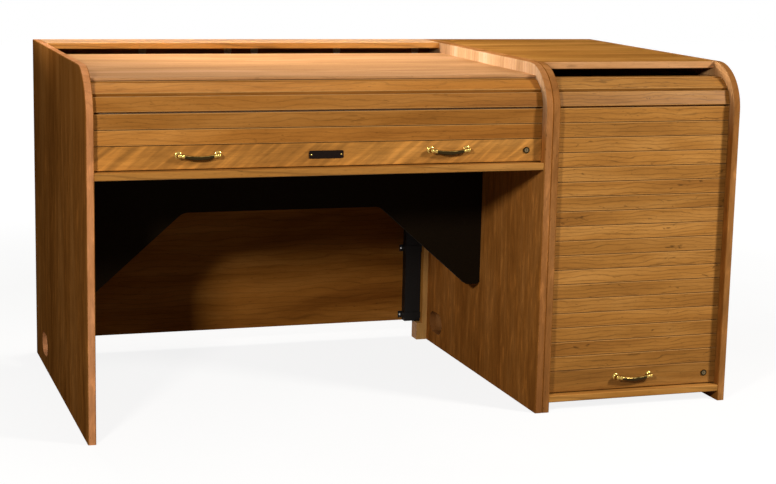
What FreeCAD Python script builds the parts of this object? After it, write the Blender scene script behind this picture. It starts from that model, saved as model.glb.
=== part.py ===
import FreeCAD, Part
import math
import os

os.makedirs("parts", exist_ok=True)
V = FreeCAD.Vector

# Overall carcass
desk_w = 1322.0
cab_w = 596.0
depth = 1064.0
height = 1012.0
side_t = 22.0
corner_r = 136.0
edge_cut = 2.0
overrun = 5.0

# Writing surface, deck and rear boards
top_t = 21.0
top_front_y = 3.0
top_nose_r = 3.0
deck_t = 8.0
deck_front_y = 88.0
deck_rear_set = 179.0
deck_nose_r = 2.5
rear_board_t = 18.0
rear_board_d = 165.0
back_set = 64.0
back_t = 16.0
back_bottom_z = 60.0

# Tambour path, shared by both curtains
face_y = 26.0
bend_drop = 122.0
bend_r = 80.0
slat_t = 12.0
slat_gap = 1.6
slat_edge_cut = 1.2
tongue_t = 6.0
tongue_w = 24.0
tongue_reach = 6.5
shoulder_gap = 0.8
groove_w = 9.0
groove_d = 8.0
desk_groove_set = 204.0
cab_groove_set = 134.0
deck_gap = 1.0
canvas_t = 0.8
canvas_inset = 18.0
desk_straight_slats = 2
desk_moving_slats = 3
desk_slats = 5
cab_straight_slats = 18
cab_bend_slats = 3

# Lift rails
rail_h = 65.0
rail_t = 20.0
rail_edge_r = 2.5
desk_rail_gap = 2.3
cab_rail_gap = 2.5
rail_end_gap = 1.0

# Bow pulls
pull_span = 108.0
pull_offset = 357.0
pull_rise = 6.0
pull_reach = 16.5
pull_bar_r = 5.2
pull_bar_sag = 6.0
pull_post_r = 4.6
pull_knob_r = 6.6
pull_knob_cut = 2.6
pull_steps = 6
pull_sides = 8
rosette_r = 10.4
rosette_t = 2.6

# Nameplate
plate_w = 98.0
plate_h = 22.0
plate_t = 2.0
plate_r = 4.0

# Cam locks
lock_inset = 47.0
cab_lock_inset = 38.0
flange_r = 9.5
flange_t = 2.2
barrel_r = 8.2
barrel_back = 5.0
plug_r = 5.6
plug_proud = 0.6
turn_gap = 0.4
key_w = 1.8
key_h = 6.0
key_d = 3.0
cam_w = 10.0
cam_t = 3.0
cam_rise = 1.5
cam_gap = 1.0
strike_hold = 7.0
strike_h = 16.0
strike_lift = 10.0
strike_d = 14.0
strike_y = 51.0

# Knee arch
arch_depth_share = 0.4446
arch_t = 18.0
arch_leg_drop = 425.0
arch_leg_w = 46.0
arch_apron_drop = 171.0
arch_apron_share = 0.4773
arch_tip_r = 20.0
arch_outer_r = 12.0
arch_bend_r = 45.0

# Cable routing
cable_hole_w = 118.0
cable_hole_h = 70.0
cable_hole_set = 202.0
cable_hole_z = 76.0
grommet_shares = (0.2449, 0.4617, 0.5305, 0.7480, 0.9609)
grommet_drop = 14.5
grommet_flange_r = 13.0
grommet_flange_t = 2.0
duct_gap = 20.0
duct_w = 54.0
duct_d = 30.0
duct_wall = 2.5
duct_bottom_z = 62.0
duct_drop = 76.0
clip_t = 2.0
clip_h = 22.0
clip_ear = 14.0
clip_shares = (0.0138, 0.4118, 0.8616)

# Corner battens and foot blocks
batten_w = 17.0
batten_d = 50.0
block_w = 36.0
block_h = 58.0

# Cabinet boards
cab_top_t = 21.0
cab_bottom_z = 28.5
cab_bottom_t = 20.0
cab_bottom_front_y = 2.5
cab_nose_r = 3.0

fit_gap = 0.3

# Derived positions
total_w = desk_w + cab_w
desk_in0 = side_t
desk_in1 = desk_w - side_t
cab_in0 = desk_w + side_t
cab_in1 = total_w - side_t
mid_x = desk_w / 2
back_y = depth - back_set
deck_rear_y = depth - deck_rear_set
rear_board_front_y = depth - rear_board_d
desk_groove_end_y = depth - desk_groove_set
cab_groove_end_y = depth - cab_groove_set
cable_hole_y = depth - cable_hole_set
bend_z = height - bend_drop
back_r = bend_r - slat_t
bend_y = face_y + bend_r
bend_len = back_r * math.pi / 2
groove_mid = slat_t / 2
cab_floor_z = cab_bottom_z + cab_bottom_t
cab_rail_z = cab_floor_z + cab_rail_gap
slat_pitch = (bend_z - cab_rail_z - rail_h) / cab_straight_slats
desk_rail_z = bend_z - desk_straight_slats * slat_pitch - rail_h
top_z = desk_rail_z - desk_rail_gap
under_top = top_z - top_t
arch_y = depth * arch_depth_share


def save(name, shape):
    placed = shape.copy()
    placed.translate(V(-total_w / 2, -depth / 2, 0))
    placed.exportStep("parts/" + name + ".step")


def box(x0, x1, y0, y1, z0, z1):
    return Part.makeBox(x1 - x0, y1 - y0, z1 - z0, V(x0, y0, z0))


def rod(radius, y0, y1, x, z):
    return Part.makeCylinder(radius, y1 - y0, V(x, y0, z), V(0, 1, 0))


def long_edges(shape, axis, tests):
    found = []
    for edge in shape.Edges:
        ends = [v.Point for v in edge.Vertexes]
        if len(ends) < 2:
            continue
        run = ends[1] - ends[0]
        along = abs(getattr(run, axis)) > 0.99 * run.Length
        middle = (ends[0] + ends[1]) * 0.5
        if along and any(test(middle) for test in tests):
            found.append(edge)
    return found


# Path of the slats: distance s is measured from the start of the bend
def path_point(s):
    if s <= 0:
        return face_y, bend_z + s, 0.0
    if s >= bend_len:
        return bend_y + s - bend_len, bend_z + bend_r, math.pi / 2
    tilt = s / back_r
    return bend_y - bend_r * math.cos(tilt), bend_z + bend_r * math.sin(tilt), tilt


def on_path(shape, s):
    y, z, tilt = path_point(s)
    moved = shape.copy()
    moved.rotate(V(0, 0, 0), V(1, 0, 0), -math.degrees(tilt))
    moved.translate(V(0, y, z))
    return moved


# One slat, its face on y = 0 and its middle at z = 0, with an end tongue in each groove
def slat(x0, x1):
    half = (slat_pitch - slat_gap) / 2
    body = box(x0 + shoulder_gap, x1 - shoulder_gap, 0, slat_t, -half, half)
    front = long_edges(body, "x", [lambda p: abs(p.y) < fit_gap])
    body = body.makeChamfer(slat_edge_cut, front)
    low = (slat_t - tongue_t) / 2
    tongue = box(x0 - tongue_reach, x1 + tongue_reach, low, low + tongue_t, -tongue_w / 2, tongue_w / 2)
    return body.fuse(tongue).removeSplitter()


# The groove of one side panel, cut from the panel's inner face at x0 to x1
def groove(x0, x1, bottom_z, end_y):
    inner = bend_r - groove_mid - groove_w / 2
    outer = bend_r - groove_mid + groove_w / 2
    straight = box(x0, x1, bend_y - outer, bend_y - inner, bottom_z, bend_z)
    flat = box(x0, x1, bend_y, end_y, bend_z + inner, bend_z + outer)
    start = V(x0, bend_y, bend_z)
    ring = Part.makeCylinder(outer, x1 - x0, start, V(1, 0, 0))
    ring = ring.cut(Part.makeCylinder(inner, x1 - x0, start, V(1, 0, 0)))
    quarter = ring.common(box(x0, x1, bend_y - outer - overrun, bend_y, bend_z, bend_z + outer + overrun))
    return straight.fuse([quarter, flat]).removeSplitter()


# A side panel with its rounded upper front corner
def side_panel(x0):
    a = V(x0, 0, 0)
    b = V(x0, 0, height - corner_r)
    c = V(x0, corner_r, height)
    d = V(x0, depth, height)
    e = V(x0, depth, 0)
    turn = math.sqrt(0.5)
    mid = V(x0, corner_r - corner_r * turn, height - corner_r + corner_r * turn)
    bend = Part.Arc(b, mid, c).toShape()
    lines = [Part.makeLine(a, b), bend, Part.makeLine(c, d), Part.makeLine(d, e), Part.makeLine(e, a)]
    face = Part.Face(Part.Wire(lines))
    panel = face.extrude(V(side_t, 0, 0))
    rounded = []
    for edge in panel.Edges:
        bounds = edge.BoundBox
        flat_edge = bounds.XLength < fit_gap
        on_floor = bounds.ZMax < fit_gap
        at_rear = bounds.YMin > depth - fit_gap
        if flat_edge and not on_floor and not at_rear:
            rounded.append(edge)
    return panel.makeChamfer(edge_cut, rounded)


# The oblong cable hole through one side panel
def cable_hole(x0, x1):
    radius = cable_hole_h / 2
    shift = cable_hole_w / 2 - radius
    low = x0 - overrun
    high = x1 + overrun
    cutter = box(low, high, cable_hole_y - shift, cable_hole_y + shift,
                 cable_hole_z - radius, cable_hole_z + radius)
    for end in (-1, 1):
        start = V(low, cable_hole_y + end * shift, cable_hole_z)
        cutter = cutter.fuse(Part.makeCylinder(radius, high - low, start, V(1, 0, 0)))
    return cutter.removeSplitter()


# Side panels
desk_left = side_panel(0)
desk_left = desk_left.cut(groove(side_t - groove_d, side_t, top_z, desk_groove_end_y))
desk_left = desk_left.cut(cable_hole(0, side_t))
save("desk_left_side", desk_left)

desk_right = side_panel(desk_in1)
desk_right = desk_right.cut(groove(desk_in1, desk_in1 + groove_d, top_z, desk_groove_end_y))
desk_right = desk_right.cut(cable_hole(desk_in1, desk_w))
save("desk_right_side", desk_right)

cab_left = side_panel(desk_w)
cab_left = cab_left.cut(groove(cab_in0 - groove_d, cab_in0, cab_floor_z, cab_groove_end_y))
cab_left = cab_left.cut(cable_hole(desk_w, cab_in0))
save("cabinet_left_side", cab_left)

cab_right = side_panel(cab_in1)
cab_right = cab_right.cut(groove(cab_in1, cab_in1 + groove_d, cab_floor_z, cab_groove_end_y))
save("cabinet_right_side", cab_right)


# A flat board with a softened front edge
def board(x0, x1, y0, y1, z0, z1, nose):
    plain = box(x0, x1, y0, y1, z0, z1)
    front = long_edges(plain, "x", [lambda p: abs(p.y - y0) < fit_gap])
    return plain.makeFillet(nose, front)


# Desk boards
deck_z = bend_z + bend_r + deck_gap
writing_top = board(desk_in0, desk_in1, top_front_y, back_y, top_z - top_t, top_z, top_nose_r)
save("writing_top", writing_top)
deck = board(desk_in0, desk_in1, deck_front_y, deck_rear_y, deck_z, deck_z + deck_t, deck_nose_r)
save("desk_deck", deck)
rear_z = height - rear_board_t
rear_board = board(desk_in0, desk_in1, rear_board_front_y, depth, rear_z, height, edge_cut)
save("rear_board", rear_board)

back_panel = box(desk_in0, desk_in1, back_y, back_y + back_t, back_bottom_z, rear_z)
grommets = []
for share in grommet_shares:
    gx = desk_in0 + share * (desk_in1 - desk_in0)
    gz = rear_z - grommet_drop
    grommets.append(rod(grommet_flange_r, back_y - grommet_flange_t, back_y, gx, gz))
save("desk_back_panel", back_panel)
save("cable_grommets", Part.makeCompound(grommets))


# Knee arch, one panel across the knee space
def knee_arch():
    half = desk_in1 - mid_x
    tip = half - arch_leg_w
    arch_leg_z = under_top - arch_leg_drop
    arch_apron_z = under_top - arch_apron_drop
    arch_apron_half = half * arch_apron_share
    right = [(half, under_top), (half, arch_leg_z), (tip, arch_leg_z), (arch_apron_half, arch_apron_z)]
    outline = right + [(-u, w) for u, w in reversed(right)]
    corners = [V(mid_x + u, arch_y, w) for u, w in outline]
    face = Part.Face(Part.makePolygon(corners + corners[:1]))
    panel = face.extrude(V(0, arch_t, 0))

    def near(u, w):
        return lambda p: abs(abs(p.x - mid_x) - u) < fit_gap and abs(p.z - w) < fit_gap

    panel = panel.makeFillet(arch_tip_r, long_edges(panel, "y", [near(tip, arch_leg_z)]))
    panel = panel.makeFillet(arch_outer_r, long_edges(panel, "y", [near(half, arch_leg_z)]))
    return panel.makeFillet(arch_bend_r, long_edges(panel, "y", [near(arch_apron_half, arch_apron_z)]))


save("knee_arch", knee_arch())

# Cable duct and the clips that hold it to the back panel
duct_x1 = desk_in1 - duct_gap
duct_x0 = duct_x1 - duct_w
duct_y0 = back_y - duct_d
duct_top_z = under_top - duct_drop
duct = box(duct_x0, duct_x1, duct_y0, back_y, duct_bottom_z, duct_top_z)
hollow = box(duct_x0 + duct_wall, duct_x1 - duct_wall, duct_y0 + duct_wall, back_y - duct_wall,
             duct_bottom_z - overrun, duct_top_z + overrun)
save("cable_duct", duct.cut(hollow))

clips = []
for share in clip_shares:
    cz = duct_bottom_z + share * (duct_top_z - duct_bottom_z)
    front = box(duct_x0 - clip_t, duct_x1 + clip_t, duct_y0 - clip_t, duct_y0, cz, cz + clip_h)
    left = box(duct_x0 - clip_t, duct_x0, duct_y0 - clip_t, back_y, cz, cz + clip_h)
    right = box(duct_x1, duct_x1 + clip_t, duct_y0 - clip_t, back_y, cz, cz + clip_h)
    ear = box(duct_x0 - clip_ear, duct_x0, back_y - clip_t, back_y, cz, cz + clip_h)
    clips.append(front.fuse([left, right, ear]).removeSplitter())
save("duct_clips", Part.makeCompound(clips))

# Corner battens standing on their foot blocks
batten_y = back_y - batten_d
batten_left = box(desk_in0, desk_in0 + batten_w, batten_y, back_y, block_h, under_top)
batten_right = box(desk_in1 - batten_w, desk_in1, batten_y, back_y, block_h, under_top)
save("corner_battens", Part.makeCompound([batten_left, batten_right]))
block_left = box(desk_in0, desk_in0 + block_w, batten_y, back_y, 0, block_h)
block_right = box(desk_in1 - block_w, desk_in1, batten_y, back_y, 0, block_h)
save("foot_blocks", Part.makeCompound([block_left, block_right]))

# Cabinet boards
cab_top_front_y = corner_r
cab_top = board(cab_in0, cab_in1, cab_top_front_y, depth, height - cab_top_t, height, cab_nose_r)
save("cabinet_top", cab_top)
cab_rear_y = back_y + back_t
cab_bottom = board(cab_in0, cab_in1, cab_bottom_front_y, cab_rear_y, cab_bottom_z, cab_floor_z, cab_nose_r)
save("cabinet_bottom", cab_bottom)
cab_back = box(cab_in0, cab_in1, back_y, cab_rear_y, cab_floor_z, height - cab_top_t)
save("cabinet_back", cab_back)

# Slats of both curtains
desk_slat = slat(desk_in0, desk_in1)
for i in range(desk_slats):
    s = (i - desk_straight_slats + 0.5) * slat_pitch
    save("desk_slat_%d" % (i + 1), on_path(desk_slat, s))

cab_slat = slat(cab_in0, cab_in1)
for i in range(cab_straight_slats):
    s = (i - cab_straight_slats + 0.5) * slat_pitch
    save("cabinet_slat_%02d" % (i + 1), on_path(cab_slat, s))
for i in range(cab_bend_slats):
    s = (i + 0.5) * slat_pitch
    save("cabinet_bend_slat_%d" % (i + 1), on_path(cab_slat, s))


# Canvas glued to the backs of a run of slats, bent between one slat and the next
def canvas(x0, x1, s0, count):
    def line(offset):
        points = []
        frames = []
        for i in range(count):
            y, z, tilt = path_point(s0 + (i + 0.5) * slat_pitch)
            frames.append((y + offset * math.cos(tilt), z - offset * math.sin(tilt), tilt))
        first = frames[0]
        last = frames[-1]
        half = slat_pitch / 2
        points.append((first[0] - half * math.sin(first[2]), first[1] - half * math.cos(first[2])))
        for (y0, z0, t0), (y1, z1, t1) in zip(frames, frames[1:]):
            if abs(t1 - t0) > 0.001:
                cross = math.sin(t1 - t0)
                step = ((y1 - y0) * math.cos(t1) - (z1 - z0) * math.sin(t1)) / -cross
                points.append((y0 + step * math.sin(t0), z0 + step * math.cos(t0)))
        points.append((last[0] + half * math.sin(last[2]), last[1] + half * math.cos(last[2])))
        return points

    near = line(slat_t)
    far = line(slat_t + canvas_t)
    ring = [V(x0, y, z) for y, z in near + far[::-1]]
    face = Part.Face(Part.makePolygon(ring + ring[:1]))
    return face.extrude(V(x1 - x0, 0, 0))


desk_start = -desk_straight_slats * slat_pitch
cab_start = -cab_straight_slats * slat_pitch
desk_bend = desk_start + desk_moving_slats * slat_pitch
desk_cloth = (desk_in0 + canvas_inset, desk_in1 - canvas_inset)
save("desk_canvas", canvas(*desk_cloth, desk_start, desk_moving_slats))
save("desk_bend_canvas", canvas(*desk_cloth, desk_bend, 1))
save("desk_tail_canvas", canvas(*desk_cloth, desk_bend + slat_pitch, 1))
save("cabinet_canvas", canvas(cab_in0 + canvas_inset, cab_in1 - canvas_inset, cab_start, cab_straight_slats))
save("cabinet_bend_canvas", canvas(cab_in0 + canvas_inset, cab_in1 - canvas_inset, 0, cab_bend_slats))


# A lift rail with the hole for its lock barrel
def lift_rail(x0, x1, z0, z1, lock_x, lock_z):
    body = box(x0, x1, face_y, face_y + rail_t, z0, z1)
    front = long_edges(body, "x", [lambda p: abs(p.y - face_y) < fit_gap])
    body = body.makeFillet(rail_edge_r, front)
    hole = rod(barrel_r + fit_gap, face_y - overrun, face_y + rail_t + overrun, lock_x, lock_z)
    return body.cut(hole)


rail_top_gap = slat_gap / 2
desk_rail_top = bend_z + desk_start - rail_top_gap
desk_rail_mid = desk_rail_z + rail_h / 2
cab_rail_mid = cab_rail_z + rail_h / 2
desk_lock_x = desk_in1 - lock_inset
cab_lock_x = cab_in1 - cab_lock_inset
desk_rail = lift_rail(desk_in0 + rail_end_gap, desk_in1 - rail_end_gap, desk_rail_z, desk_rail_top,
                      desk_lock_x, desk_rail_mid)
save("desk_lift_rail", desk_rail)

cab_rail = lift_rail(cab_in0 + shoulder_gap, cab_in1 - shoulder_gap, cab_rail_z,
                     cab_rail_z + rail_h - rail_top_gap, cab_lock_x, cab_rail_mid)
tongue_low = face_y + (slat_t - tongue_t) / 2
half = tongue_w / 2
for end_x in (cab_in0, cab_in1):
    tongue = box(end_x - tongue_reach, end_x + tongue_reach, tongue_low, tongue_low + tongue_t,
                 cab_rail_mid - half, cab_rail_mid + half)
    cab_rail = cab_rail.fuse(tongue)
save("cabinet_lift_rail", cab_rail.removeSplitter())


# A bow pull: two rosettes with posts, and the bar between them
def bow_pull(x, z):
    solids = []
    axis_y = face_y - pull_reach
    for end in (-1, 1):
        px = x + end * pull_span / 2
        rosette = rod(rosette_r, face_y - rosette_t, face_y, px, z)
        post = rod(pull_post_r, axis_y, face_y - rosette_t / 2, px, z)
        knob = rod(pull_knob_r, axis_y - pull_knob_r, axis_y + pull_knob_r, px, z)
        rims = [e for e in knob.Edges if e.Closed and e.BoundBox.YLength < fit_gap]
        knob = knob.makeChamfer(pull_knob_cut, rims)
        solids.append(rosette.fuse([post, knob]).removeSplitter())
    inner = pull_span / 2 - pull_knob_r - fit_gap
    points = []
    for i in range(pull_steps + 1):
        u = 2 * i / pull_steps - 1
        points.append(V(x + u * inner, axis_y, z - pull_bar_sag * (1 - u * u)))
    lead = (points[1] - points[0]).normalize()
    across = V(0, 1, 0)
    upward = across.cross(lead)
    ring = []
    for i in range(pull_sides + 1):
        turn = 2 * math.pi * (i + 0.5) / pull_sides
        ring.append(points[0] + (across * math.cos(turn) + upward * math.sin(turn)) * pull_bar_r)
    bar = Part.makePolygon(points).makePipeShell([Part.makePolygon(ring)], True, False, 1)
    solids.append(bar)
    return Part.makeCompound(solids)


save("desk_left_pull", bow_pull(mid_x - pull_offset, desk_rail_mid + pull_rise))
save("desk_right_pull", bow_pull(mid_x + pull_offset, desk_rail_mid + pull_rise))
save("cabinet_pull", bow_pull((cab_in0 + cab_in1) / 2, cab_rail_mid + pull_rise))

# Nameplate, left bare
plate = box(mid_x - plate_w / 2, mid_x + plate_w / 2, face_y - plate_t, face_y,
            desk_rail_mid - plate_h / 2, desk_rail_mid + plate_h / 2)
plate = plate.makeFillet(plate_r, long_edges(plate, "y", [lambda p: True]))
save("nameplate", plate)


# A cam lock: the cam hangs behind the rail and turns up beneath a strike on the side panel
def cam_lock(prefix, x, z, panel_x):
    back = face_y + rail_t + barrel_back
    body = rod(flange_r, face_y - flange_t, face_y, x, z)
    body = body.fuse(rod(barrel_r, face_y, back, x, z))
    bore = rod(plug_r + turn_gap, face_y - flange_t - overrun, back + overrun, x, z)
    save(prefix + "_lock_body", body.cut(bore).removeSplitter())
    cam_y = back + cam_gap
    plug = rod(plug_r, face_y - flange_t - plug_proud, cam_y + cam_t, x, z)
    slot_y = face_y - flange_t - plug_proud
    slot = box(x - key_w / 2, x + key_w / 2, slot_y - overrun, slot_y + key_d, z - key_h / 2, z + key_h / 2)
    reach = rail_h / 2 - cam_rise
    cam = box(x - cam_w / 2, x + cam_w / 2, cam_y, cam_y + cam_t, z - reach, z + cam_w / 2)
    save(prefix + "_lock_plug", plug.cut(slot).fuse(cam).removeSplitter())
    low = z + strike_lift
    rear = strike_y + strike_d
    inner = x + reach - strike_hold
    strike = box(inner, panel_x, strike_y, rear, low, low + strike_h)
    corner = box(inner - overrun, panel_x - cam_t, strike_y - overrun, rear + overrun,
                 low + cam_t, low + strike_h + overrun)
    save(prefix + "_strike", strike.cut(corner))


cam_lock("desk", desk_lock_x, desk_rail_mid, desk_in1)
cam_lock("cabinet", cab_lock_x, cab_rail_mid, cab_in1)
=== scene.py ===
import bpy
import bmesh
import math
from mathutils import Matrix, Vector


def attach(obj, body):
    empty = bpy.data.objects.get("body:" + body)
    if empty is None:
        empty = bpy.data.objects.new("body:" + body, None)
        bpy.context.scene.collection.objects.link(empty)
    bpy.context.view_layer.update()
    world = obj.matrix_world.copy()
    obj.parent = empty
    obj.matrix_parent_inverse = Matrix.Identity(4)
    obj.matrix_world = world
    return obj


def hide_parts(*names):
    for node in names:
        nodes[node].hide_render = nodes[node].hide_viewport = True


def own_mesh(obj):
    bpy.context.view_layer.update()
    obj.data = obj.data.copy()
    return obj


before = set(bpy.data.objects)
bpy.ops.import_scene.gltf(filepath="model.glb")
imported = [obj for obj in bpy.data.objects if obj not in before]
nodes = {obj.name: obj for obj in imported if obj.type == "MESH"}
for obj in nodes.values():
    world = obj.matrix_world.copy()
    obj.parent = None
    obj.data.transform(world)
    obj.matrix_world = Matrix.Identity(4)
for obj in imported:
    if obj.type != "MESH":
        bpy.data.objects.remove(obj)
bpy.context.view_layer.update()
scene = bpy.context.scene
scene.view_settings.view_transform = "Standard"

# Sizes repeated from the model, in metres, measured from the left face and the front edge
WIDTH, DEPTH = 1.918, 1.064
FACE = 0.026  # front of the closed curtains
BEND_Z, BEND_R = 0.890, 0.080
SLAT_T, PITCH, GAP = 0.012, 0.043, 0.0016
DESK_X = (0.022, 1.300)
CAB_X = (1.344, 1.896)
RAIL_MID, CAB_RAIL_MID = 0.7715, 0.0835
RAIL_TOP, CAB_RAIL_TOP = 0.8035, 0.1154
DESK_SLATS_BELOW, DESK_SLATS_MOVING = 2, 3
CAB_SLATS, CAB_BEND_SLATS = 18, 3
PLATE_X = 0.661
PULL_XS, CAB_PULL_X = (0.304, 1.018), 1.620
DUCT_X, DUCT_FRONT, DUCT_BOTTOM, DUCT_TALL = 1.219, 0.998, 0.062, 0.578
CLIP_SHARES, CLIP_MID = (0.0138, 0.4118, 0.8616), 0.011


def at(x, y, z):
    return Vector((x - WIDTH / 2, y - DEPTH / 2, z))


# Materials
MIX_FACTOR, MIX_A, MIX_B, MIX_COLOUR = 0, 6, 7, 2  # sockets of a Mix node that mixes colours


class Shade:
    def __init__(self, name):
        self.mat = bpy.data.materials.new(name)
        self.mat.use_nodes = True
        self.tree = self.mat.node_tree
        self.bsdf = self.tree.nodes["Principled BSDF"]
        where = self.add("ShaderNodeTexCoord")
        self.coord, self.facing = where.outputs["Object"], where.outputs["Normal"]

    def add(self, kind, **values):
        node = self.tree.nodes.new(kind)
        for key, value in values.items():
            setattr(node, key, value)
        return node

    def link(self, a, b):
        self.tree.links.new(a, b)

    # A socket takes a link, a colour or a number
    def feed(self, socket, value):
        if isinstance(value, bpy.types.NodeSocket):
            self.link(value, socket)
        elif hasattr(value, "__len__"):
            socket.default_value = (*value, 1.0)
        else:
            socket.default_value = value

    def mapped(self, scale, shift=(0, 0, 0)):
        node = self.add("ShaderNodeMapping")
        node.inputs["Scale"].default_value = scale
        node.inputs["Location"].default_value = shift
        self.link(self.coord, node.inputs["Vector"])
        return node.outputs["Vector"]

    # Coordinates turned about the depth axis and then divided by the sizes of a streak
    def slanted(self, sizes, slope, shift):
        node = self.add("ShaderNodeMapping", vector_type="TEXTURE")
        node.inputs["Scale"].default_value = sizes
        node.inputs["Rotation"].default_value = (0.0, -slope, 0.0)
        node.inputs["Location"].default_value = shift
        self.link(self.coord, node.inputs["Vector"])
        return node.outputs["Vector"]

    def split(self, vector):
        node = self.add("ShaderNodeSeparateXYZ")
        self.link(vector, node.inputs[0])
        return node.outputs

    def noise(self, vector, scale, detail=4.0, rough=0.5, twist=0.0):
        node = self.add("ShaderNodeTexNoise")
        node.inputs["Scale"].default_value = scale
        node.inputs["Detail"].default_value = detail
        node.inputs["Roughness"].default_value = rough
        node.inputs["Distortion"].default_value = twist
        self.link(vector, node.inputs["Vector"])
        return node.outputs["Fac"]

    def wave(self, vector, direction, **values):
        node = self.add("ShaderNodeTexWave", wave_type="BANDS", bands_direction=direction)
        for key, value in values.items():
            node.inputs[key.replace("_", " ")].default_value = value
        self.link(vector, node.inputs["Vector"])
        return node.outputs["Fac"]

    def ramp(self, fac, *stops):
        node = self.add("ShaderNodeValToRGB")
        while len(node.color_ramp.elements) < len(stops):
            node.color_ramp.elements.new(0.5)
        for element, (place, colour) in zip(node.color_ramp.elements, stops):
            shade = colour if hasattr(colour, "__len__") else (colour, colour, colour)
            element.position = place
            element.color = (*shade, 1.0)
        self.link(fac, node.inputs["Fac"])
        return node.outputs["Color"]

    def math(self, operation, *values):
        node = self.add("ShaderNodeMath", operation=operation)
        for socket, value in zip(node.inputs, values):
            self.feed(socket, value)
        return node.outputs[0]

    def mix(self, mode, fac, a, b):
        node = self.add("ShaderNodeMix", data_type="RGBA", blend_type=mode)
        for index, value in ((MIX_FACTOR, fac), (MIX_A, a), (MIX_B, b)):
            self.feed(node.inputs[index], value)
        return node.outputs[MIX_COLOUR]

    # A colour multiplied by a pattern that the ramp's stops set
    def stain(self, colour, strength, pattern, *stops):
        return self.mix("MULTIPLY", strength, colour, self.ramp(pattern, *stops))

    def bump(self, height, strength, distance):
        node = self.add("ShaderNodeBump")
        node.inputs["Strength"].default_value = strength
        node.inputs["Distance"].default_value = distance
        self.link(height, node.inputs["Height"])
        self.link(node.outputs["Normal"], self.bsdf.inputs["Normal"])

    def set(self, **values):
        for key, value in values.items():
            self.bsdf.inputs[key.replace("_", " ")].default_value = value


CHERRY = (0.350, 0.150, 0.0290)
DARKER = (-0.145, -0.073, -0.0160)
PALER = (0.140, 0.085, 0.0300)
SEED_STEP = (3.17, 1.31, 2.23)
RING_RUN, LONG_RING_RUN, RING_ACROSS = 0.9, 0.25, 3.4
CURL_STREAK, CURL_SLOPE = (0.16, 1.0, 0.017), math.radians(38.0)
FADE_FROM, FADE_TO = BEND_Z - 0.10, BEND_Z + 0.02
TURNED = 0.5  # share of its normal from which a face counts as turned one way


def stretch(along, run, across):
    return (run, across, across) if along == "X" else (across, across, run)


# Lacquered cherry with its figure along X or Z: tone and tint scale the colour, drift the broad
# patches, lines and rings the growth lines. knots adds dark specks, curl slanting streaks, and
# flame short streaks that fade out at the bend. band colours all faces that are not turned left
# or right; a painted highlight makes those turned left pale above the bend; edge colours those
# turned to the front.
def cherry(name, along, seed, tone=1.0, tint=(1.0, 1.0, 1.0), drift=1.0, lines=0.7, rings=5.0,
           bands=None, knots=0.0, curl=0.0, flame=0.0, band=None, painted_highlight=None, edge=None,
           coat=0.0, gloss=0.10, rough=0.42):
    s = Shade(name)
    shift = tuple(seed * step for step in SEED_STEP)
    mid = tuple(tone * t * c for t, c in zip(tint, CHERRY))
    dark, pale = (tuple(c + drift * tone * t * d for c, t, d in zip(mid, tint, change))
                  for change in (DARKER, PALER))

    # Cycles per metre along and across, then the noise's scale, detail, roughness and twist
    def grain(run, across, *noise):
        return s.noise(s.mapped(stretch(along, run, across), shift), *noise)

    broad = grain(0.9, 6.0, 1.6, 5.0, 0.55, 0.7)
    colour = s.ramp(broad, (0.30, dark), (0.50, mid), (0.70, pale))
    run = LONG_RING_RUN if bands == "DIAGONAL" else RING_RUN
    growth = s.wave(s.mapped(stretch(along, run, RING_ACROSS), shift),
                    bands or ("Z" if along == "X" else "Y"),
                    Scale=rings, Distortion=12.0, Detail=3.0, Detail_Scale=0.7)
    colour = s.stain(colour, lines, growth, (0.0, 0.55), (0.09, 0.92), (0.40, 1.0))
    fine = grain(7.0, 190.0, 2.0, 3.0, 0.6)
    colour = s.stain(colour, 0.5, fine, (0.30, 0.74), (0.62, 1.06))
    pores = grain(28.0, 520.0, 2.0, 1.0, 0.5)
    colour = s.stain(colour, 0.55, pores, (0.27, 0.45), (0.37, 1.0))
    flecks = grain(55.0, 240.0, 1.0, 2.0, 0.5)
    colour = s.stain(colour, 0.8, flecks, (0.22, 0.40), (0.32, 1.0))
    if knots:
        specks = grain(17.0, 55.0, 1.0, 3.0, 0.6, 1.2)
        colour = s.stain(colour, knots, specks, (0.29, 0.35), (0.355, 1.0))
    if curl:
        streaks = s.noise(s.slanted(CURL_STREAK, CURL_SLOPE, shift), 1.0, 2.0, 0.5, 0.2)
        colour = s.stain(colour, curl, streaks, (0.36, 0.70), (0.52, 0.95), (0.66, 1.30))
    if flame or painted_highlight:
        risen = s.ramp(s.split(s.coord)["Z"], (FADE_FROM, 0.0), (FADE_TO, 1.0))
    if flame:
        fading = s.math("MULTIPLY_ADD", risen, -flame, flame)
        tongues = grain(11.0, 48.0, 1.0, 3.0, 0.6, 0.4)
        colour = s.stain(colour, fading, tongues, (0.38, 0.80), (0.56, 1.0), (0.70, 1.45))
    if band or painted_highlight or edge:
        normal = s.split(s.facing)
    if band:
        narrow = s.math("LESS_THAN", s.math("ABSOLUTE", normal["X"]), TURNED)
        colour = s.mix("MULTIPLY", narrow, colour, band)
    # Painted highlight: faces turned left are made pale above the bend
    if painted_highlight:
        left = s.math("LESS_THAN", normal["X"], -TURNED)
        colour = s.mix("MULTIPLY", s.math("MULTIPLY", risen, left), colour, painted_highlight)
    if edge:
        front = s.math("LESS_THAN", normal["Y"], -TURNED)
        colour = s.mix("MULTIPLY", front, colour, edge)
    s.link(colour, s.bsdf.inputs["Base Color"])
    s.link(s.ramp(fine, (0.25, rough * 1.2), (0.75, rough * 0.85)), s.bsdf.inputs["Roughness"])
    s.bump(fine, 0.05, 0.0008)
    s.set(Coat_Weight=coat, Coat_Roughness=0.28, Specular_IOR_Level=gloss)
    return s.mat


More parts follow.
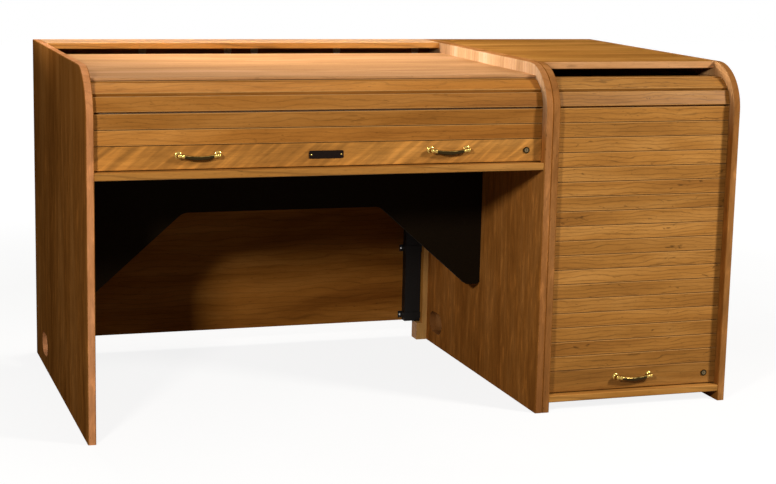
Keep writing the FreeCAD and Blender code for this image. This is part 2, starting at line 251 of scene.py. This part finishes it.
# One colour, mottled by a share of itself, with a fine grain in its sheen and surface
def plain(name, colour, rough, spread=0.25, metal=0.0, grain=90.0, bump=0.08, gloss=0.5):
    s = Shade(name)
    mottle = s.noise(s.mapped((1, 1, 1)), grain, 5.0, 0.6)
    low = tuple(c * (1 - spread) for c in colour)
    high = tuple(min(1.0, c * (1 + spread)) for c in colour)
    sheen = s.ramp(mottle, (0.25, min(1.0, rough * 1.2)), (0.75, rough * 0.8))
    s.link(s.ramp(mottle, (0.3, low), (0.7, high)), s.bsdf.inputs["Base Color"])
    s.link(sheen, s.bsdf.inputs["Roughness"])
    s.bump(mottle, bump, 0.0004)
    s.set(Metallic=metal, Specular_IOR_Level=gloss)
    return s.mat


# Brass painted dark as a reflection of a dark room, with painted highlights along the top and in
# spots
def glinting_brass(name, dark, bright):
    s = Shade(name)
    patch = s.noise(s.mapped((75.0, 40.0, 40.0)), 1.0, 2.0, 0.5)
    # Painted highlight: faces turned up, and random spots, are made bright
    glint_mask = s.mix("MIX", 0.5, s.split(s.facing)["Z"], patch)
    s.link(s.ramp(glint_mask, (0.52, dark), (0.64, bright)), s.bsdf.inputs["Base Color"])
    s.link(s.ramp(patch, (0.3, 0.13), (0.7, 0.22)), s.bsdf.inputs["Roughness"])
    s.bump(patch, 0.03, 0.0004)
    s.set(Metallic=1.0)
    return s.mat


def weave(name, hollow, thread):
    s = Shade(name)
    weft, warp = (s.wave(s.coord, way, Scale=260.0, Distortion=0.6) for way in ("X", "Z"))
    cross = s.mix("MULTIPLY", 1.0, weft, warp)
    s.link(s.ramp(cross, (0.0, hollow), (0.8, thread)), s.bsdf.inputs["Base Color"])
    s.bump(cross, 0.3, 0.0004)
    s.set(Roughness=0.9)
    return s.mat


brass = plain("brass_polished", (0.46, 0.295, 0.075), 0.18, spread=0.22, metal=1.0, grain=60.0,
              bump=0.03)
brass_painted_light = glinting_brass("brass_painted_reflections", (0.036, 0.023, 0.008), (0.50, 0.32, 0.085))
black_plastic = plain("black_duct", (0.006, 0.005, 0.0045), 0.5, gloss=0.2)
black_board = plain("black_arch", (0.0125, 0.0080, 0.0040), 0.6, spread=0.3, grain=240.0,
                    bump=0.12, gloss=0.01)
plate_black = plain("plate_black", (0.010, 0.0055, 0.004), 0.30, spread=0.3, grain=140.0,
                    bump=0.04, gloss=0.05)
steel = plain("steel_dull", (0.50, 0.49, 0.47), 0.30, spread=0.15, metal=1.0, grain=120.0,
              bump=0.04)
lock_brass = plain("brass_lock", (0.17, 0.125, 0.065), 0.30, spread=0.3, metal=1.0, grain=120.0,
                   bump=0.05)
pale_cap = plain("pale_cap", (0.55, 0.40, 0.24), 0.5, gloss=0.2)
canvas_cloth = weave("canvas_weave", (0.33, 0.27, 0.18), (0.58, 0.51, 0.38))
# Paler cherry on the slats' rounded edges: a painted highlight
nose_highlight = plain("cherry_arris", (0.46, 0.225, 0.066), 0.55, spread=0.14, grain=220.0, bump=0.03,
              gloss=0.04)


def dress(name, mat):
    slots = nodes[name].data.materials
    if len(slots):
        for i in range(len(slots)):
            slots[i] = mat
    else:
        slots.append(mat)


SIDE_WOOD = dict(gloss=0.0, rough=0.6, lines=0.35, drift=0.7, flame=0.8, tint=(1.0, 0.87, 0.84))
# The bands give the sides' front edges their own pinker colour; the left side's much paler band
# also paints light from the front left on its edges
SIDES = (
    ("desk_left_side", dict(tone=0.88, band=(1.85, 2.08, 4.2))),
    # Painted highlight on its inner face above the bend
    ("desk_right_side", dict(tone=1.17, band=(0.89, 0.96, 1.48), painted_highlight=(1.05, 1.60, 4.2))),
    ("cabinet_left_side", dict(tone=0.8, band=(1.22, 1.333, 1.964))),
    # Painted highlight on its inner face above the bend
    ("cabinet_right_side", dict(tone=0.9, band=(1.12, 1.264, 1.81), painted_highlight=(1.8, 2.5, 5.4))),
)
BOARDS = (
    ("writing_top", dict(tone=1.10, gloss=0.10, bands="DIAGONAL")),
    ("rear_board", dict(tone=1.38, gloss=0.16, bands="DIAGONAL")),
    ("cabinet_top", dict(tone=0.98, gloss=0.0, bands="Y", edge=(1.6, 1.9, 4.0))),
    ("cabinet_bottom", dict(tone=1.2, gloss=0.04, bands="DIAGONAL")),
    ("cabinet_back", dict(tone=1.0, gloss=0.04, bands="Z")),
)
OTHERS = (
    ("knee_arch", black_board), ("cable_duct", black_plastic), ("duct_clips", black_plastic),
    # The lock bodies take the brass with a painted dark reflection and painted highlights
    ("cable_grommets", pale_cap), ("nameplate", plate_black), ("desk_lock_body", brass_painted_light),
    ("cabinet_lock_body", brass_painted_light), ("desk_lock_plug", lock_brass),
    ("cabinet_lock_plug", lock_brass), ("desk_strike", steel), ("cabinet_strike", steel),
)
for i, (name, own) in enumerate(SIDES):
    dress(name, cherry("cherry_side_%d" % i, "Z", 2.0 + i, **SIDE_WOOD, **own))
for i, (name, own) in enumerate(BOARDS):
    dress(name, cherry("cherry_board_%d" % i, "X", 11.0 + i, rough=0.45, drift=0.8, **own))
# The deck's band makes its top and front paler and greyer: a painted highlight
dress("desk_deck", cherry("cherry_deck", "X", 21.0, tone=1.40, drift=0.5, lines=0.3, bands="Y",
                          band=(1.0, 1.16, 2.4), coat=0.05, gloss=0.0))
dress("desk_back_panel", cherry("cherry_back", "X", 23.0, tone=1.02, tint=(1.0, 0.87, 0.70),
                                lines=0.45, gloss=0.02, rough=0.5))
dress("desk_lift_rail", cherry("cherry_desk_rail", "X", 31.0, tone=1.38, drift=0.6, lines=0.25,
                               curl=0.9))
dress("cabinet_lift_rail", cherry("cherry_cab_rail", "X", 33.0, tone=0.92, lines=0.5))
# Pale raw wood; the high tone also lifts them out of the shade under the desk, and the band makes
# faces not turned sideways paler still: partly their own colour, partly painted light
for name in ("corner_battens", "foot_blocks"):
    dress(name, cherry("pale_" + name, "Z", 41.0, tone=1.9, band=(1.05, 1.35, 2.2)))
for name, mat in OTHERS:
    dress(name, mat)


# Mesh helpers
def finish_mesh(name, bm, mats, smooth=True):
    bmesh.ops.recalc_face_normals(bm, faces=bm.faces)
    mesh = bpy.data.meshes.new(name)
    bm.to_mesh(mesh)
    bm.free()
    for mat in mats:
        mesh.materials.append(mat)
    for face in mesh.polygons:
        face.use_smooth = smooth
    piece = bpy.data.objects.new(name, mesh)
    scene.collection.objects.link(piece)
    return piece


# A closed skin over rings of points, with its sides first and its two ends last
def loft(bm, rings):
    rows = [[bm.verts.new(point) for point in ring] for ring in rings]
    count = len(rows[0])
    faces = []
    for low, high in zip(rows, rows[1:]):
        for i in range(count):
            j = (i + 1) % count
            faces.append(bm.faces.new((low[i], low[j], high[j], high[i])))
    return faces + [bm.faces.new(rows[0]), bm.faces.new(rows[-1])]


ACROSS, INWARD, UPWARD = Vector((1, 0, 0)), Vector((0, 1, 0)), Vector((0, 0, 1))


def circle(centre, radius, side, up, steps):
    turns = [2 * math.pi * i / steps for i in range(steps)]
    return [centre + side * (radius * math.cos(a)) + up * (radius * math.sin(a)) for a in turns]


# A turned form that stands out to the front, from radii and how far out each is
def lathe(bm, centre, profile, steps):
    loft(bm, [circle(centre - INWARD * out, radius, ACROSS, UPWARD, steps)
              for radius, out in profile])


def tube(bm, points, radii, steps):
    rings = []
    for i, (point, radius) in enumerate(zip(points, radii)):
        lead = (points[min(i + 1, len(points) - 1)] - points[max(i - 1, 0)]).normalized()
        rings.append(circle(point, radius, INWARD, INWARD.cross(lead).normalized(), steps))
    return loft(bm, rings)


def place(piece, body, slot, node=None):
    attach(piece, body)
    if node:
        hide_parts(node)


def gather(piece, how):
    if how:
        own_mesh(piece)


# Path of the slats, as in the model: s is the distance from the start of the bend
def path_point(s):
    back = BEND_R - SLAT_T
    quarter = back * math.pi / 2
    bend_y = FACE + BEND_R
    if s <= 0:
        return FACE, BEND_Z + s, 0.0
    if s >= quarter:
        return bend_y + s - quarter, BEND_Z + BEND_R, math.pi / 2
    tilt = s / back
    return bend_y - BEND_R * math.cos(tilt), BEND_Z + BEND_R * math.sin(tilt), tilt


def section(s, depth, along):
    y, z, tilt = path_point(s)
    return (y + depth * math.cos(tilt) + along * math.sin(tilt),
            z - depth * math.sin(tilt) + along * math.cos(tilt))


NOSE, NOSE_STEPS = 0.0016, 5
END_PLAY = 0.0008
TONGUE_OUT, TONGUE_HALF = 0.0065, 0.012
TONGUE_FRONT, TONGUE_BACK = 0.003, 0.009


# A slat with two rounded front edges, in a paler material that paints a highlight along them, and a
# tongue at each end
def slat(name, xs, s, mat):
    bm = bmesh.new()

    def bar(x0, x1, corners):
        return loft(bm, [[at(x, *section(s, d, w)) for d, w in corners] for x in (x0, x1)])

    half = (PITCH - GAP) / 2
    turns = [math.pi / 2 * i / NOSE_STEPS for i in range(NOSE_STEPS + 1)]
    outline = [(SLAT_T, -half), (SLAT_T, half)]
    outline += [(NOSE - NOSE * math.sin(a), half - NOSE + NOSE * math.cos(a)) for a in turns]
    outline += [(NOSE - NOSE * math.cos(a), -half + NOSE - NOSE * math.sin(a)) for a in turns]
    faces = bar(xs[0] + END_PLAY, xs[1] - END_PLAY, outline)
    upper_nose, lower_nose = 2, 3 + NOSE_STEPS
    for first in (upper_nose, lower_nose):
        for face in faces[first:first + NOSE_STEPS]:
            face.material_index = 1
    tongue = [(TONGUE_FRONT, -TONGUE_HALF), (TONGUE_BACK, -TONGUE_HALF),
              (TONGUE_BACK, TONGUE_HALF), (TONGUE_FRONT, TONGUE_HALF)]
    bar(xs[0] - TONGUE_OUT, xs[0] + END_PLAY, tongue)
    bar(xs[1] - END_PLAY, xs[1] + TONGUE_OUT, tongue)
    return finish_mesh(name, bm, [mat, nose_highlight], False)


CLOTH_INSET, CLOTH_EDGE, CLOTH_LIFT, CLOTH_SPANS = 0.018, 0.0006, 0.0004, 6


# Canvas behind a run of slats, flat behind each and bent between them
def cloth(name, xs, s0, count, body, node, how=None):
    bm = bmesh.new()
    x0, x1 = xs[0] + CLOTH_INSET, xs[1] - CLOTH_INSET
    stops = [x0 + (x1 - x0) * k / CLOTH_SPANS for k in range(CLOTH_SPANS + 1)]
    rows = []
    for i in range(count):
        mid = s0 + (i + 0.5) * PITCH
        for along in (-PITCH / 2 + CLOTH_EDGE, PITCH / 2 - CLOTH_EDGE):
            y, z = section(mid, SLAT_T + CLOTH_LIFT, along)
            rows.append([bm.verts.new(at(x, y, z)) for x in stops])
    for low, high in zip(rows, rows[1:]):
        for k in range(CLOTH_SPANS):
            bm.faces.new((low[k], low[k + 1], high[k + 1], high[k]))
    piece = finish_mesh(name, bm, [canvas_cloth])
    place(piece, body, "canvas", node)
    gather(piece, how)


# How the two curtains gather when they open: the moving slats at the top of their lift rail,
# and the desk's slat 4 on the bend
KEEP_MOVING, KEEP_BEND = 0.004, 0.02
BEND_SPOT = tuple(at(PLATE_X, 0.0711, 0.9249))
desk_up = ("desk_curtain_lift", dict(axis=(0, 0, 1), anchor=(0, 0, RAIL_TOP), keep=KEEP_MOVING))
on_bend = ("desk_curtain_lift", dict(axis=(0, 1, -1), anchor=BEND_SPOT, keep=KEEP_BEND))
cab_up = ("cabinet_curtain_lift", dict(axis=(0, 0, 1), anchor=(0, 0, CAB_RAIL_TOP),
                                       keep=KEEP_MOVING))

DESK_SLAT_WOOD = dict(gloss=0.05, lines=0.5, drift=0.75, rings=7.0, knots=0.35,
                      tint=(1.04, 0.95, 0.86))
CAB_SLAT_WOOD = dict(lines=0.9, drift=0.7, rings=8.0, knots=0.8)
# Tones of the desk slats from the bottom; the top slat, which lies flat, is darker as painted shade
DESK_TONES = (1.10, 0.86, 0.90, 1.14, 0.80)
CAB_TONE_LOW, CAB_TONE_SPREAD = 1.06, 0.16

for i, tone in enumerate(DESK_TONES):
    wood = cherry("slat_d%d" % i, "X", 51.0 + 1.7 * i, tone=tone, **DESK_SLAT_WOOD)
    piece = slat("d_slat_%d" % (i + 1), DESK_X, (i - DESK_SLATS_BELOW + 0.5) * PITCH, wood)
    moving = i < DESK_SLATS_MOVING
    place(piece, "desk_curtain" if moving else "carcass", "cherry_slat", "desk_slat_%d" % (i + 1))
    gather(piece, desk_up if moving else on_bend if i == DESK_SLATS_MOVING else None)
for i in range(CAB_SLATS):
    tone = CAB_TONE_LOW + CAB_TONE_SPREAD * ((i * 7) % 11) / 10
    wood = cherry("slat_c%02d" % i, "X", 71.0 + 1.3 * i, tone=tone, **CAB_SLAT_WOOD)
    piece = slat("c_slat_%02d" % (i + 1), CAB_X, (i - CAB_SLATS + 0.5) * PITCH, wood)
    place(piece, "cabinet_curtain", "cherry_slat", "cabinet_slat_%02d" % (i + 1))
    gather(piece, cab_up)
for i in range(CAB_BEND_SLATS):
    wood = cherry("slat_b%d" % i, "X", 101.0 + 1.9 * i, **CAB_SLAT_WOOD)
    piece = slat("c_bend_%d" % (i + 1), CAB_X, (i + 0.5) * PITCH, wood)
    place(piece, "carcass", "cherry_slat", "cabinet_bend_slat_%d" % (i + 1))

cloth("d_canvas", DESK_X, -DESK_SLATS_BELOW * PITCH, DESK_SLATS_MOVING, "desk_curtain",
      "desk_canvas", desk_up)
cloth("d_canvas_bend", DESK_X, PITCH, 1, "carcass", "desk_bend_canvas", on_bend)
cloth("d_canvas_tail", DESK_X, 2 * PITCH, 1, "carcass", "desk_tail_canvas")
cloth("c_canvas", CAB_X, -CAB_SLATS * PITCH, CAB_SLATS, "cabinet_curtain", "cabinet_canvas", cab_up)
cloth("c_canvas_bend", CAB_X, 0.0, CAB_BEND_SLATS, "carcass", "cabinet_bend_canvas")

PULL_RISE, PULL_OUT = 0.006, 0.0165
POST_HALF, BAR_HALF = 0.054, 0.0440
BAR_DROP, BOW, BAR_R, BAR_SWELL = 0.0014, 0.0056, 0.0048, 0.0016
POST_STEPS, COLLAR_STEPS, BAR_STEPS, BAR_SPANS = 36, 24, 20, 32
# Radius and distance in front of the curtain
POST = ((0.0104, 0.0001), (0.0104, 0.0012), (0.0092, 0.0020), (0.0072, 0.0023), (0.0066, 0.0034),
        (0.0046, 0.0042), (0.0039, 0.0064), (0.0043, 0.0092), (0.0056, 0.0112), (0.0066, 0.0138),
        (0.0068, 0.0165), (0.0061, 0.0192), (0.0042, 0.0217), (0.0014, 0.0227))
# Radius and distance beyond the bar's end
COLLAR = ((0.0046, -0.0052), (0.0064, -0.0036), (0.0070, -0.0014), (0.0064, 0.0010),
          (0.0048, 0.0028), (0.0056, 0.0042), (0.0040, 0.0062))


# Bow pull: stepped rosettes, waisted posts with ball ends, turned collars where the bar meets
# its posts, and a bar that swells in the middle
def pull(name, node, body, x, z):
    bm = bmesh.new()
    axis_y = FACE - PULL_OUT
    for end in (-1, 1):
        lathe(bm, at(x + end * POST_HALF, FACE, z), POST, POST_STEPS)
        tip = at(x + end * BAR_HALF, axis_y, z - BAR_DROP)
        loft(bm, [circle(tip + ACROSS * (end * beyond), radius, INWARD, UPWARD, COLLAR_STEPS)
                  for radius, beyond in COLLAR])
    shares = [2 * i / BAR_SPANS - 1 for i in range(BAR_SPANS + 1)]
    points = [at(x + u * BAR_HALF, axis_y, z - BAR_DROP - BOW * (1 - u * u)) for u in shares]
    radii = [BAR_R + BAR_SWELL * math.cos(u * math.pi / 2) for u in shares]
    # The bar takes the brass with a painted dark reflection and painted highlights
    for face in tube(bm, points, radii, BAR_STEPS):
        face.material_index = 1
    place(finish_mesh(name, bm, [brass, brass_painted_light]), body, "brass", node)


pull("d_pull_left", "desk_left_pull", "desk_curtain", PULL_XS[0], RAIL_MID + PULL_RISE)
pull("d_pull_right", "desk_right_pull", "desk_curtain", PULL_XS[1], RAIL_MID + PULL_RISE)
pull("c_pull", "cabinet_pull", "cabinet_curtain", CAB_PULL_X, CAB_RAIL_MID + PULL_RISE)

STUD_STEPS = 20
STUD = ((1.0, 0.0), (1.0, 0.4), (0.8, 0.8), (0.35, 1.0))  # shares of its radius and its rise
PIN_REACH, PIN_R, PIN_RISE, PLATE_PROUD = 0.0425, 0.0024, 0.0012, 0.002
SCREW_R, SCREW_RISE = 0.0042, 0.0022


# Small fasteners: plate pins and duct screws
def stud(name, centre, radius, rise, body, mat, slot):
    bm = bmesh.new()
    profile = [(radius * share, rise * height) for share, height in STUD]
    lathe(bm, centre, profile, STUD_STEPS)
    place(finish_mesh(name, bm, [mat]), body, slot)


for i, dx in enumerate((-PIN_REACH, PIN_REACH)):
    stud("plate_pin_%d" % i, at(PLATE_X + dx, FACE - PLATE_PROUD, RAIL_MID), PIN_R, PIN_RISE,
         "desk_curtain", brass, "brass")
for i, share in enumerate(CLIP_SHARES):
    z = DUCT_BOTTOM + share * DUCT_TALL + CLIP_MID
    stud("duct_screw_%d" % i, at(DUCT_X, DUCT_FRONT, z), SCREW_R, SCREW_RISE, "carcass", steel,
         "steel")

# Floor, lights and camera
FLOOR_SIZE = 14.0
WORLD_COLOUR, WORLD_STRENGTH = (1.0, 0.97, 0.93, 1.0), 0.03
LAMP_COLOUR = (1.0, 0.96, 0.90)
# Name, place, target, size, watts and spread in degrees
LAMPS = (
    ("overhead", (-0.35, 0.75, 2.3), (-0.25, 0.25, 0.95), (1.6, 0.7), 30.0, 180.0),
    ("side", (-1.70, 0.55, 1.55), (0.34, -0.02, 0.99), (0.5, 0.3), 4.0, 36.0),
    ("key", (3.0, -3.0, 2.6), (0.1, -0.4, 0.6), (0.6, 0.6), 155.0, 180.0),
    ("fill", (-2.45, -3.3, 2.00), (-0.10, 0.0, 0.6), (0.4, 0.4), 92.0, 180.0),
)
CAMERA_PLACE = (-1.665, -5.136, 1.415)
CAMERA_YAW, CAMERA_PITCH, CAMERA_ROLL = (math.radians(angle) for angle in (18.52, 10.38, 1.28))
CAMERA_LENS, CAMERA_SENSOR = 82.35, 36.0


# Rays that show a surface itself, as against those that only carry its light
def seen_rays(tree):
    rays = tree.nodes.new("ShaderNodeLightPath")
    total = rays.outputs["Is Camera Ray"]
    for name in ("Is Glossy Ray", "Is Transmission Ray"):
        node = tree.nodes.new("ShaderNodeMath")
        node.operation = "MAXIMUM"
        tree.links.new(total, node.inputs[0])
        tree.links.new(rays.outputs[name], node.inputs[1])
        total = node.outputs[0]
    return total


# A grey floor that takes the shadow, with a white glow on top where it is seen
def pale_floor():
    s = Shade("floor_pale")
    grey = s.ramp(s.noise(s.mapped((1, 1, 1)), 1.2), (0.3, 0.17), (0.7, 0.19))
    s.link(grey, s.bsdf.inputs["Base Color"])
    s.set(Roughness=0.9, Specular_IOR_Level=0.0)
    reach = s.add("ShaderNodeTexGradient", gradient_type="SPHERICAL")
    s.link(s.mapped((0.25, 0.25, 0.25)), reach.inputs["Vector"])
    glow = s.add("ShaderNodeEmission")
    s.link(s.ramp(reach.outputs["Fac"], (0.10, 1.0), (0.55, 0.86)), glow.inputs["Color"])
    lit = s.add("ShaderNodeAddShader")
    s.link(s.bsdf.outputs[0], lit.inputs[0])
    s.link(glow.outputs[0], lit.inputs[1])
    choose = s.add("ShaderNodeMixShader")
    s.link(seen_rays(s.tree), choose.inputs["Fac"])
    s.link(s.bsdf.outputs[0], choose.inputs[1])
    s.link(lit.outputs[0], choose.inputs[2])
    s.link(choose.outputs[0], s.tree.nodes["Material Output"].inputs["Surface"])
    return s.mat


bm = bmesh.new()
bmesh.ops.create_grid(bm, x_segments=2, y_segments=2, size=FLOOR_SIZE)
floor = finish_mesh("floor", bm, [pale_floor()])

# A faint warm world that looks white where it is seen
world = bpy.data.worlds.new("studio")
scene.world = world
world.use_nodes = True
sky = world.node_tree
soft = sky.nodes["Background"]
soft.inputs["Color"].default_value = WORLD_COLOUR
soft.inputs["Strength"].default_value = WORLD_STRENGTH
white = sky.nodes.new("ShaderNodeBackground")
white.inputs["Color"].default_value = (1.0, 1.0, 1.0, 1.0)
white.inputs["Strength"].default_value = 1.0
blend = sky.nodes.new("ShaderNodeMixShader")
sky.links.new(seen_rays(sky), blend.inputs["Fac"])
sky.links.new(soft.outputs[0], blend.inputs[1])
sky.links.new(white.outputs[0], blend.inputs[2])
sky.links.new(blend.outputs[0], sky.nodes["World Output"].inputs["Surface"])

for name, spot, target, size, watts, spread in LAMPS:
    data = bpy.data.lights.new(name, "AREA")
    data.shape = "RECTANGLE"
    data.size, data.size_y = size
    data.energy = watts
    data.color = LAMP_COLOUR
    data.spread = math.radians(spread)
    lamp = bpy.data.objects.new(name, data)
    scene.collection.objects.link(lamp)
    lamp.location = spot
    lamp.rotation_euler = (Vector(target) - Vector(spot)).to_track_quat("-Z", "Y").to_euler()

ahead = Vector((math.sin(CAMERA_YAW) * math.cos(CAMERA_PITCH),
                math.cos(CAMERA_YAW) * math.cos(CAMERA_PITCH), -math.sin(CAMERA_PITCH)))
level = Vector((math.cos(CAMERA_YAW), -math.sin(CAMERA_YAW), 0.0))
raised = level.cross(ahead)
right = level * math.cos(CAMERA_ROLL) + raised * math.sin(CAMERA_ROLL)
upright = raised * math.cos(CAMERA_ROLL) - level * math.sin(CAMERA_ROLL)
turn = Matrix((right, upright, -ahead)).transposed().to_4x4()
camera_data = bpy.data.cameras.new("camera")
camera_data.sensor_width = CAMERA_SENSOR
camera_data.lens = CAMERA_LENS
camera = bpy.data.objects.new("camera", camera_data)
scene.collection.objects.link(camera)
camera.matrix_world = Matrix.Translation(CAMERA_PLACE) @ turn
scene.camera = camera
